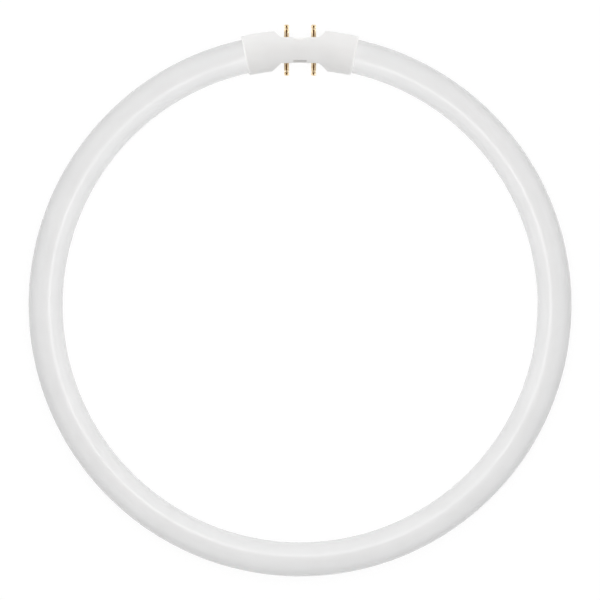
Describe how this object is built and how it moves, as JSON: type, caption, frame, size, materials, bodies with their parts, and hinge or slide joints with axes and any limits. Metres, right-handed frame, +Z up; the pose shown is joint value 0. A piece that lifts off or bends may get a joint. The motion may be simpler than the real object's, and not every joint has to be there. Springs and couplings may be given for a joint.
{
  "type": "circular led tube",
  "caption": "Ring-shaped LED tube lamp: a sealed opal tube bent to a circle, its ends joined by a white waisted base with gold contact pins that point out of and into the ring.",
  "frame": {"origin": "under the middle of the outline, level with the underside of the base's collars", "axes": "+Z up, square to the ring's plane, towards the side that the picture shows; +Y from the ring's centre to the middle of the base; +X to the right in the picture"},
  "size_m": [0.255, 0.2592, 0.0188],
  "materials": {
    "opal_glass": "opal white, satin gloss",
    "white_plastic": "moulded, fine satin",
    "pin_brass": "gold-coloured, drawn and rolled",
    "lead_insulation": "smooth extruded",
    "cement": "dull, cured"
  },
  "bodies": {
    "root": {"tube": "opal_glass", "base_front": "white_plastic", "base_back": "white_plastic", "pin_outer_left": "pin_brass", "pin_outer_right": "pin_brass", "pin_inner_left": "pin_brass", "pin_inner_right": "pin_brass", "lead_outer_left": "lead_insulation", "lead_outer_right": "lead_insulation", "lead_inner_left": "lead_insulation", "lead_inner_right": "lead_insulation", "cement_left": "cement", "cement_right": "cement"}
  },
  "joints": []
}
